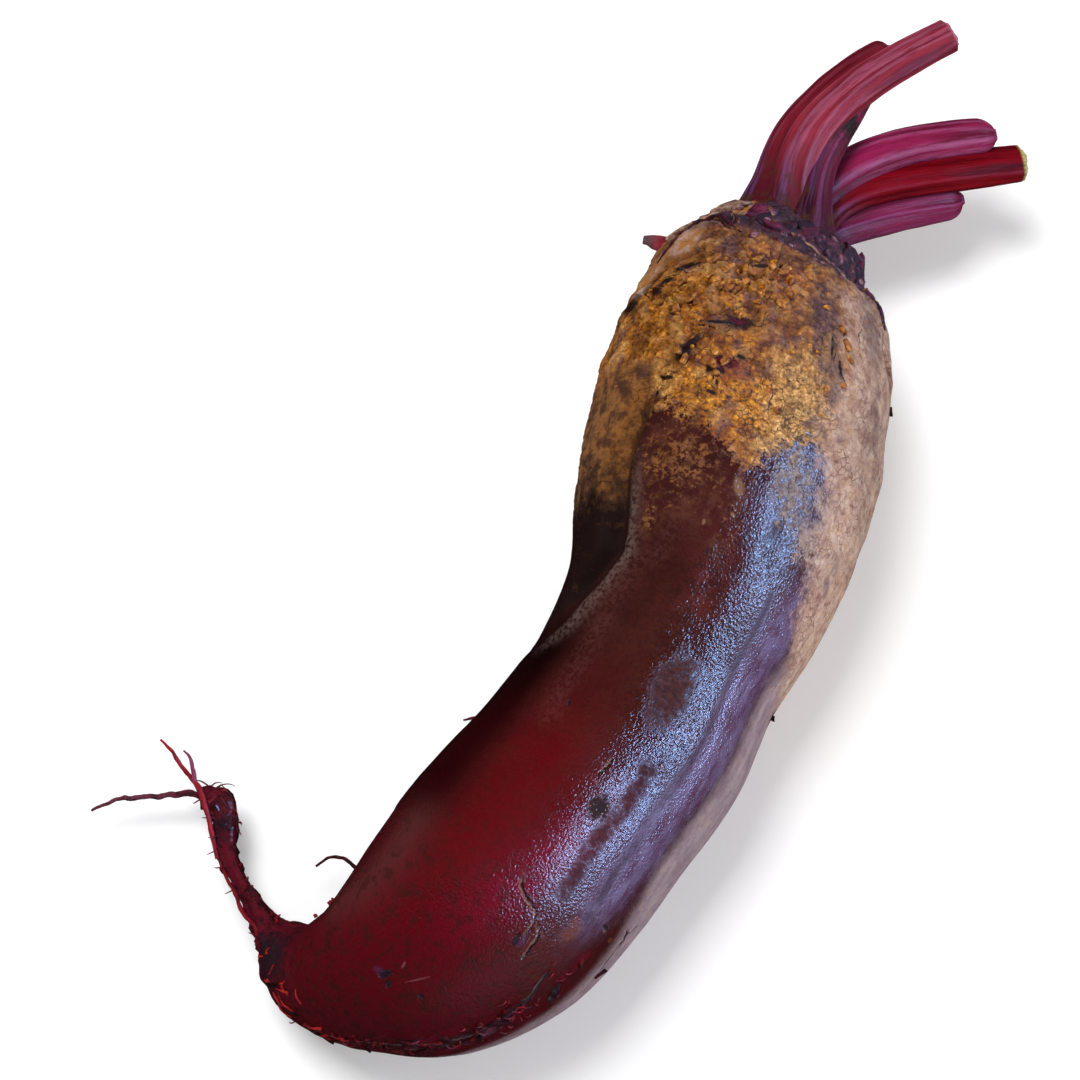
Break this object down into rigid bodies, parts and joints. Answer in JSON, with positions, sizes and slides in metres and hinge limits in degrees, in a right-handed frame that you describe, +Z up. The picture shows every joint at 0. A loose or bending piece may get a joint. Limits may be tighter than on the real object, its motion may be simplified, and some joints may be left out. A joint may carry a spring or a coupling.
{
  "type": "beetroot",
  "caption": "Long, curved cylindrical beetroot lying on its side, with a corky shoulder, cut leaf stalks and a curled taproot tail with rootlets.",
  "frame": {"origin": "on the surface that the root lies on, under the middle of the whole beetroot's box", "axes": "+Y runs from the tail end to the crown and its stalks, +X is to the right seen from above with the crown at the top, +Z is up"},
  "size_m": [0.1094, 0.2294, 0.0559],
  "materials": {
    "root_skin": "smooth satin crimson and maroon skin with a fine grain, dull ochre and tan cork at the shoulder",
    "leaf_stalk": "satin red to mauve, with fine lengthwise ribs",
    "dried_leaf": "matt dark red, shrivelled",
    "red_rootlet": "bright red, satin",
    "brown_rootlet": "purple-brown, matt"
  },
  "bodies": {
    "root": {"root": "root_skin", "leaf_stalk_left_middle": "leaf_stalk", "leaf_stalk_left_rear": "leaf_stalk", "leaf_stalk_left_front": "leaf_stalk", "leaf_stalk_right_middle": "leaf_stalk", "leaf_stalk_right_top": "leaf_stalk", "leaf_stalk_right_bottom": "leaf_stalk", "dried_leaf_stub": "dried_leaf", "red_rootlet": "red_rootlet", "lower_rootlet": "red_rootlet", "tail_rootlet": "brown_rootlet", "red_rootlet_branch": "brown_rootlet", "inner_rootlet": "brown_rootlet", "inner_rootlet_stub": "brown_rootlet"}
  },
  "joints": []
}
